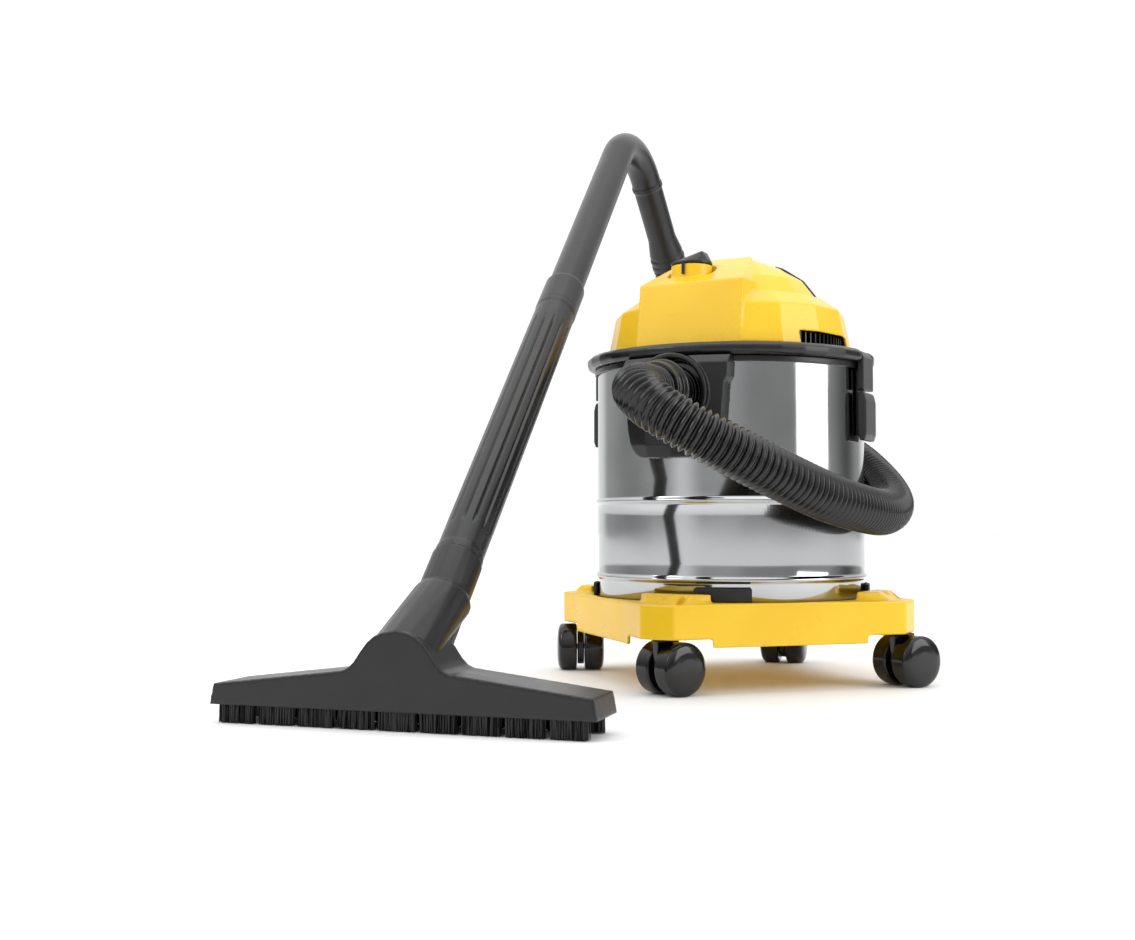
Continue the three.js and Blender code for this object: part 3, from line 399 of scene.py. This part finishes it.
wheel_profile = [
    (0, WHEEL_OUT), (0.01, WHEEL_OUT - 0.0002), (0.017, WHEEL_OUT - 0.0009), (0.0218, WHEEL_OUT - 0.0022),
    (WHEEL_RADIUS, WHEEL_OUT - 0.0046), (WHEEL_RADIUS, WHEEL_OUT - 0.009),
    (WHEEL_RADIUS, WHEEL_IN + 0.0016), (WHEEL_RADIUS - 0.0014, WHEEL_IN),
    (0.019, WHEEL_IN), (0.0185, WHEEL_IN + 0.004), (0.008, WHEEL_IN + 0.004), (0.0075, WHEEL_IN), (0, WHEEL_IN),
]
for side in ("front", "right", "rear", "left"):
    low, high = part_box(f"caster_{side}_axle")
    hub = (low + high) / 2
    axle_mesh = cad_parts[f"caster_{side}_axle"].data
    spokes = [v.co - hub for v in axle_mesh.vertices]
    longest = max(spokes, key=lambda d: d.length)
    line = sum((d for d in spokes if d.dot(longest) > 0), Vector())
    line = Vector((line.x, line.y, 0)).normalized()
    outer_low, outer_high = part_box(f"caster_{side}_wheel_outer")
    if line.dot((outer_low + outer_high) / 2 - hub) < 0:
        line.negate()
    for which, way in (("outer", line), ("inner", -line)):
        piece(
            f"caster_wheel_{side}_{which}", turned(eased(wheel_profile, 0.0018), hub, way, 72),
            f"caster_{side}_wheels", caster_nylon, [f"caster_{side}_wheel_{which}"],
        )
    softened(
        f"caster_web_{side}", f"caster_{side}_hood", 0.0007, 4, f"caster_{side}_swivel",
        caster_nylon,
    )
    paint(f"caster_{side}_axle", zinc_plate)

# ---- drum -----------------------------------------------------------------------------------------------
# Deep-drawn stainless steel, bright polished, with two ribs rolled into it for stiffness. The drawing leaves
# the wall very slightly wavy, so the eye sees reflections that wander.
DRUM_RADIUS = 0.138
DRUM_WALL = 0.001
RIB = 0.0022
RIB_HALF = 0.0042
LOWER_RIB = 0.106
UPPER_RIB = 0.182
DRUM_CORNER = 0.006
drum_steel, steel_tree = fresh("polished_stainless_steel")
steel_place = put(steel_tree, "TexCoord", {}).outputs["Object"]
steel_stretch = put(steel_tree, "Mapping", {"Vector": steel_place, "Scale": (1, 1, 0.02)})
steel_lines = put(steel_tree, "TexNoise", {"Vector": steel_stretch.outputs["Vector"], "Scale": 1 / 0.0008})
steel_clouds = put(steel_tree, "TexNoise", {"Vector": steel_place, "Scale": 1 / 0.06, "Detail": 2.0})
steel_rough = put(steel_tree, "MapRange", {
    "Value": steel_clouds.outputs["Fac"], "From Min": 0.3, "From Max": 0.7, "To Min": 0.07, "To Max": 0.11,
})
steel_tint = put(steel_tree, "ValToRGB", {"Fac": steel_clouds.outputs["Fac"]})
steel_tint.color_ramp.elements[0].position = 0.35
steel_tint.color_ramp.elements[0].color = linear("B2B3B4")
steel_tint.color_ramp.elements[1].position = 0.65
steel_tint.color_ramp.elements[1].color = linear("BABBBC")
steel_bump = put(steel_tree, "Bump", {"Height": steel_lines.outputs["Fac"], "Strength": 1.0, "Distance": 4e-7})
steel_shader = put(steel_tree, "BsdfPrincipled", {
    "Base Color": steel_tint.outputs["Color"], "Metallic": 1.0, "Roughness": steel_rough.outputs["Result"],
    "Normal": steel_bump.outputs["Normal"],
})
put(steel_tree, "OutputMaterial", {"Surface": steel_shader.outputs["BSDF"]})

drum_foot = drum_low.z
drum_top = drum_high.z
drum_outer = [
    (0.0, drum_foot), (DRUM_RADIUS - DRUM_CORNER, drum_foot), (DRUM_RADIUS, drum_foot + DRUM_CORNER),
]
for rib_height, next_height, shares in (
    (LOWER_RIB, UPPER_RIB, (0.2, 0.35, 0.5, 0.65, 0.8)),
    (UPPER_RIB, drum_top, (0.15, 0.3, 0.45, 0.6, 0.75, 0.9)),
):
    for k in range(13):
        phase = k / 12 * 2 - 1
        swell = RIB * 0.5 * (1 + math.cos(math.pi * phase))
        drum_outer.append((DRUM_RADIUS + swell, rib_height + phase * RIB_HALF))
    drum_outer += [(DRUM_RADIUS, rib_height + (next_height - rib_height) * f) for f in shares]
drum_outer.append((DRUM_RADIUS, drum_top - 0.0003))
drum_inner = [(max(0.0, r - DRUM_WALL), max(z, drum_foot + DRUM_WALL)) for r, z in reversed(drum_outer)]
drum_form = turned([(max(r, 1.1e-4), z) for r, z in drum_outer + drum_inner], AXIS, (0, 0, 1), 180)


def wavy(point):
    """Moves a point on the drum's wall in or out by up to a sixth of a millimetre, in slow waves."""
    out = Vector((point.x - AXIS.x, point.y - AXIS.y, 0))
    if out.length < DRUM_RADIUS * 0.9:
        return point
    wave = noise.noise(Vector((point.x, point.y, point.z * 0.8)) * 22) * 0.00017
    return point + out.normalized() * wave


piece(
    "steel_drum", ([wavy(v) for v in drum_form[0]], drum_form[1]), "drum_assembly",
    drum_steel, ["drum"], sharp=50,
)

# ---- drum rim -------------------------------------------------------------------------------------------
# A black polypropylene ring pushed over the drum's raw top edge. The head's gasket seats on it.
rim_low, rim_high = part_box("drum_rim")
rim_outer = (rim_high.x - rim_low.x) / 2
satin_black = moulded_plastic("satin_black_polypropylene", "0D0D0E", "090A0A", 0.3, 0.0009, 0.00004)
rim_profile = [
    (0.1345, rim_low.z), (0.1367, rim_low.z), (0.1367, rim_high.z - 0.0014), (0.1383, rim_high.z - 0.0014),
    (0.1383, rim_low.z), (rim_outer, rim_low.z), (rim_outer, rim_high.z), (0.1345, rim_high.z),
]
piece(
    "rim_ring", turned(eased(rim_profile, 0.0006, closed=True), AXIS, (0, 0, 1), 180), "drum_assembly",
    satin_black, ["drum_rim"],
)

# ---- inlet ----------------------------------------------------------------------------------------------
# A black cowl screwed to the drum's front frames the round inlet. The port passes through the wall, and the
# hose's connector, a polished moulding with a stepped collar, is pushed into it.
INLET_HEIGHT = 0.284
glossy_black = moulded_plastic("polished_black_abs", "0A0A0B", "070707", 0.13, 0.0014, 0.00002)
softened("cowl_moulding", "inlet_cowl", 0.0008, 5, "drum_assembly", satin_black)
inlet_foot = AXIS + Vector((0, 0, INLET_HEIGHT))
port_profile = [
    (0.0177, 0.1185), (0.0219, 0.1185), (0.0219, 0.143), (0.0314, 0.143), (0.0314, 0.1468), (0.0255, 0.1472),
    (0.0255, 0.153), (0.0219, 0.1535), (0.0219, 0.1748), (0.0177, 0.1748),
]
piece(
    "port_sleeve", turned(eased(port_profile, 0.0009, closed=True), inlet_foot, (0, -1, 0)), "drum_assembly",
    glossy_black, ["inlet_port"],
)
connector_profile = [
    (0.015, 0.1503), (0.0173, 0.1503), (0.0173, 0.1754), (0.0292, 0.1754), (0.0296, 0.1776), (0.0296, 0.181),
    (0.0285, 0.1826), (0.0262, 0.1832), (0.0262, 0.1862), (0.0272, 0.187), (0.0272, 0.1918), (0.0262, 0.1926),
    (0.0255, 0.1966), (0.015, 0.1966),
]
piece(
    "connector_collar", turned(eased(connector_profile, 0.0012, closed=True), inlet_foot, (0, -1, 0)),
    "drum_assembly", glossy_black, ["hose_connector"],
)

# ---- latches --------------------------------------------------------------------------------------------
# On each side a glass-filled nylon hook plate stands on the drum and grips the collar, and a lever hinged
# below it pulls it tight.
latch_black = moulded_plastic("glass_filled_nylon", "0E0F10", "0A0A0B", 0.36, 0.0006, 0.00006)
lever_grey = moulded_plastic("grey_filled_nylon", "1E1F21", "18191B", 0.38, 0.0006, 0.00006)
for side in ("right", "left"):
    softened(
        f"latch_hook_{side}", f"latch_bracket_{side}", 0.0007, 4, "drum_assembly", latch_black,
    )
    softened(
        f"latch_handle_{side}", f"latch_lever_{side}", 0.0007, 4, f"latch_{side}",
        lever_grey,
    )

# ---- head collar ----------------------------------------------------------------------------------------
# The black ring that carries the whole motor head. It sits over the drum's rim, with a notch at each latch,
# and its groove holds the gasket.
softened("collar_ring", "head_collar", 0.0012, 4, "head", satin_black)
paint("head_gasket", buffer_rubber)

# ---- head cover -----------------------------------------------------------------------------------------
# The motor's cover, in the same yellow ABS as the base: a faceted dome with a flat front and a round stand
# for the switch.
softened("cover_moulding", "head_cover", 0.0012, 6, "head", base_yellow)

# ---- carry grips ----------------------------------------------------------------------------------------
# Soft rubber pads let into the cover on both sides, where the hands take hold to lift the head.
for side in ("right", "left"):
    softened(f"grip_pad_{side}", f"carry_grip_{side}", 0.0007, 4, "head", buffer_rubber)

# ---- switch ---------------------------------------------------------------------------------------------
# A turning knob with a raised wedge for the fingers and a pointer that hangs down its stand.
softened("switch_wedge", "switch_knob", 0.0006, 4, "knob", latch_black)
paint("switch_body", latch_black)

# ---- exhaust grille -------------------------------------------------------------------------------------
# Thin upright louvres moulded in black, set back in the cover's window.
paint("exhaust_grille", satin_black)

# ---- motor deck, fan and motor --------------------------------------------------------------------------
# Under the cover a black deck closes the drum and carries the fan's pressed housing and the motor.
painted_grey = moulded_plastic("grey_enamel", "8A8C8F", "808285", 0.35, 0.0015, 0.00003)
fan_aluminium, fan_tree = fresh("pressed_aluminium")
fan_place = put(fan_tree, "TexCoord", {}).outputs["Object"]
fan_clouds = put(fan_tree, "TexNoise", {"Vector": fan_place, "Scale": 1 / 0.01, "Detail": 3.0})
fan_rough = put(fan_tree, "MapRange", {"Value": fan_clouds.outputs["Fac"], "To Min": 0.25, "To Max": 0.45})
fan_shader = put(fan_tree, "BsdfPrincipled", {
    "Base Color": linear("D8DADC"), "Metallic": 1.0, "Roughness": fan_rough.outputs["Result"],
})
put(fan_tree, "OutputMaterial", {"Surface": fan_shader.outputs["BSDF"]})
inner_finishes = {
    "motor_deck": satin_black, "fan_housing": painted_grey, "motor_body": painted_grey,
    "suction_fan": fan_aluminium, "motor_shaft": zinc_plate, "float_cage": satin_black,
    "filter_cap": satin_black,
}
for node, finish in inner_finishes.items():
    paint(node, finish)

# ---- filter and float -----------------------------------------------------------------------------------
# A pleated paper cartridge hangs below the deck round a cage with a white float, which shuts the air path
# when the drum is full of water.
filter_paper = moulded_plastic("pleated_filter_paper", "EDE7D6", "E2DAC4", 0.85, 0.0007, 0.0001)
float_white = moulded_plastic("white_polypropylene", "E9E9E5", "DEDEDA", 0.45, 0.001, 0.00003)
paint("filter_cartridge", filter_paper)
paint("float", float_white)

# ---- wand tubes -----------------------------------------------------------------------------------------
# Two push-fit polypropylene tubes in charcoal: a plain handle, bent over at its top, and a fluted extension
# whose sleeve it plugs into.
TUBE_SLOPE = math.radians(43.75)
TURN = math.radians(9.6)
LEAN = math.radians(-6)
WAND_FOOT = AXIS + Vector((-0.098, -0.445, 0))
wand_turn = Matrix.Rotation(TURN, 4, "Z")
wand_line = Vector((0, math.cos(TUBE_SLOPE), math.sin(TUBE_SLOPE)))


def up_wand(distance):
    """A point on the wand's straight line, in the row's frame, at a distance up it from its foot."""
    return WAND_FOOT + wand_turn @ (Vector((0, 0.075, 0.1099)) + wand_line * distance)


charcoal = moulded_plastic("charcoal_polypropylene", "18191A", "131415", 0.3, 0.001, 0.00003)
HANDLE_RADIUS = 0.0186
HANDLE_START = 0.3943
STRAIGHT = 0.717
BEND = 0.07
FALL = math.radians(52)
TAIL = 0.003
handle_line = [up_wand(HANDLE_START + (STRAIGHT - HANDLE_START) * i / 12) for i in range(12)]
for i in range(29):
    turn = (TUBE_SLOPE + FALL) * i / 28
    heading = TUBE_SLOPE - turn
    rise = Vector((
        0, BEND * (math.sin(TUBE_SLOPE) - math.sin(heading)), BEND * (math.cos(heading) - math.cos(TUBE_SLOPE)),
    ))
    rise.rotate(Matrix.Rotation(LEAN, 3, wand_line))
    handle_line.append(up_wand(STRAIGHT) + wand_turn @ rise)
handle_line.append(handle_line[-1] + (handle_line[-1] - handle_line[-2]).normalized() * TAIL)


def handle_section(distance, _angle):
    """The handle's radius: a thicker sleeve at its lower end, then the plain tube."""
    step = min(1.0, max(0.0, (distance - 0.038) / 0.004))
    return 0.0214 - (0.0214 - HANDLE_RADIUS) * step * step * (3 - 2 * step)


piece(
    "handle_pipe", skin(along(evenly(handle_line, 0.002), 64, handle_section)), "drum_assembly",
    charcoal, ["handle_tube"], sharp=50,
)
EXTENSION_RADIUS = 0.0208
FLUTES = 13
extension_line = [up_wand(0.0263), up_wand(0.394)]


def fluted(distance, angle):
    """The extension's radius: lengthwise flutes with round ends, and plain bands at both ends."""
    inside = min(distance - 0.03, 0.335 - distance) / 0.012
    window = max(0.0, min(1.0, inside)) ** 0.5
    wave = max(0.0, math.cos(FLUTES * angle)) ** 3
    lip = 0.0006 if distance < 0.006 or distance > 0.36 else 0.0
    return EXTENSION_RADIUS + lip - 0.0016 * window * wave


piece(
    "extension_pipe", skin(along(evenly(extension_line, 0.002), 208, fluted)), "drum_assembly",
    charcoal, ["extension_tube"], sharp=50,
)

# ---- floor nozzle ---------------------------------------------------------------------------------------
# A wide nozzle moulded in satin black, with a hump that turns into the socket for the tube.
nozzle_black = moulded_plastic("satin_black_abs", "0A0A0B", "070708", 0.34, 0.0009, 0.00005)
softened("nozzle_moulding", "nozzle_body", 0.0011, 5, "drum_assembly", nozzle_black)

# ---- brush strips ---------------------------------------------------------------------------------------
# Two strips of black nylon bristle in nine tufts each, clamped under the nozzle's front and back edges.
BRISTLES = 340
TUFTS = 9
STRIP_HALF = 0.158
TUFT_MARGIN = 0.0022
TUFT_GAP = 0.003
BRISTLE_TOP = 0.0148
random.seed(7)
bristle_nylon = moulded_plastic("nylon_bristle", "131416", "0C0C0D", 0.42, 0.002, 0.00002)
to_wand = Matrix.Translation(WAND_FOOT) @ wand_turn
for name, node, front, back in (
    ("bristles_front", "brush_front", -0.028, -0.020),
    ("bristles_rear", "brush_rear", 0.012, 0.020),
):
    verts = []
    faces = []
    pitch = 2 * STRIP_HALF / TUFTS
    for tuft in range(TUFTS):
        left = -STRIP_HALF + pitch * tuft + TUFT_MARGIN
        for _ in range(BRISTLES):
            x = left + random.random() * (pitch - TUFT_MARGIN - TUFT_GAP)
            y = front + 0.001 + random.random() * (back - front - 0.002)
            foot = Vector((x + random.uniform(-0.0007, 0.0007), y + random.uniform(-0.0008, 0.0008), 0))
            foot.z = 0.0002 + random.random() * 0.0012
            start = len(verts)
            for centre, radius in ((Vector((x, y, BRISTLE_TOP)), 0.0006), (foot, 0.0004)):
                for k in range(3):
                    angle = 2 * math.pi * k / 3 + x * 900
                    verts.append(to_wand @ (centre + Vector((math.cos(angle), math.sin(angle), 0)) * radius))
            for k in range(3):
                after = (k + 1) % 3
                faces.append((start + k, start + after, start + 3 + after, start + 3 + k))
            faces += [(start + 2, start + 1, start), (start + 3, start + 4, start + 5)]
    piece(name, (verts, faces), "drum_assembly", bristle_nylon, [node], sharp=40)

# ---- stage ----------------------------------------------------------------------------------------------
# A plain pale floor and three soft lamps in a white room. Some of its walls are grey, with a bright strip
# between them, so that the steel has light and dark to mirror.
floor_paint, floor_tree = fresh("pale_floor")
floor_shader = put(floor_tree, "BsdfPrincipled", {"Base Color": linear("F8F8F8"), "Roughness": 0.7})
put(floor_tree, "OutputMaterial", {"Surface": floor_shader.outputs["BSDF"]})
floor_mesh = bpy.data.meshes.new("floor")
floor_reach = 12
floor_mesh.from_pydata(
    [(-floor_reach, -floor_reach, 0), (floor_reach, -floor_reach, 0), (floor_reach, floor_reach, 0),
     (-floor_reach, floor_reach, 0)], [], [(0, 1, 2, 3)],
)
floor_mesh.materials.append(floor_paint)
floor = bpy.data.objects.new("floor", floor_mesh)
bpy.context.scene.collection.objects.link(floor)

world = bpy.data.worlds.new("studio")
world.use_nodes = True
world.node_tree.nodes.clear()
sky = world.node_tree
way = put(sky, "SeparateXYZ", {"Vector": put(sky, "TexCoord", {}).outputs["Generated"]})
turn = put(sky, "Math", {0: way.outputs["X"], 1: way.outputs["Y"]}, operation="ARCTAN2")
round_room = put(sky, "MapRange", {"Value": turn.outputs["Value"], "From Min": -math.pi, "From Max": math.pi})
walls = put(sky, "ValToRGB", {"Fac": round_room.outputs["Result"]})
walls.color_ramp.interpolation = "EASE"
wall_greys = [
    (0.0, 0.5), (0.055, 1.0), (0.1, 0.5), (0.2, 0.36), (0.3, 0.5), (0.345, 1.0), (0.51, 1.0), (0.56, 0.45),
    (0.62, 0.14), (0.7, 0.46), (0.78, 0.36), (0.88, 0.38), (0.95, 0.52), (1.0, 0.5),
]
walls.color_ramp.elements[0].position, grey = wall_greys[0]
walls.color_ramp.elements[0].color = (grey, grey, grey, 1)
walls.color_ramp.elements[1].position, grey = wall_greys[-1]
walls.color_ramp.elements[1].color = (grey, grey, grey, 1)
for position, grey in wall_greys[1:-1]:
    walls.color_ramp.elements.new(position).color = (grey, grey, grey, 1)
height = put(sky, "MapRange", {"Value": way.outputs["Z"], "From Min": 0.15, "From Max": 0.8})
CEILING = 1.45
room = put(sky, "Mix", {
    "Factor": height.outputs["Result"], 6: walls.outputs["Color"], 7: (CEILING, CEILING, CEILING, 1),
}, data_type="RGBA")
surround = put(sky, "Background", {"Color": room.outputs[2], "Strength": 1.0})
put(sky, "OutputWorld", {"Surface": surround.outputs["Background"]})
bpy.context.scene.world = world

for name, place, aim, power, width, height in (
    ("key", (-1.5, -1.7, 1.9), (0, 0, 0.25), 14, 1.0, 1.0),
    ("side", (2.0, 0.1, 0.95), (0, 0, 0.3), 17, 1.25, 1.4),
    ("top", (0.1, -0.2, 2.6), (0, 0, 0.3), 6, 1.8, 1.2),
):
    lamp_data = bpy.data.lights.new(name, "AREA")
    lamp_data.energy = power
    lamp_data.shape = "RECTANGLE"
    lamp_data.size = width
    lamp_data.size_y = height
    lamp = bpy.data.objects.new(name, lamp_data)
    lamp.location = AXIS + Vector(place)
    lamp.rotation_euler = (Vector(aim) - Vector(place)).to_track_quat("-Z", "Y").to_euler()
    bpy.context.scene.collection.objects.link(lamp)
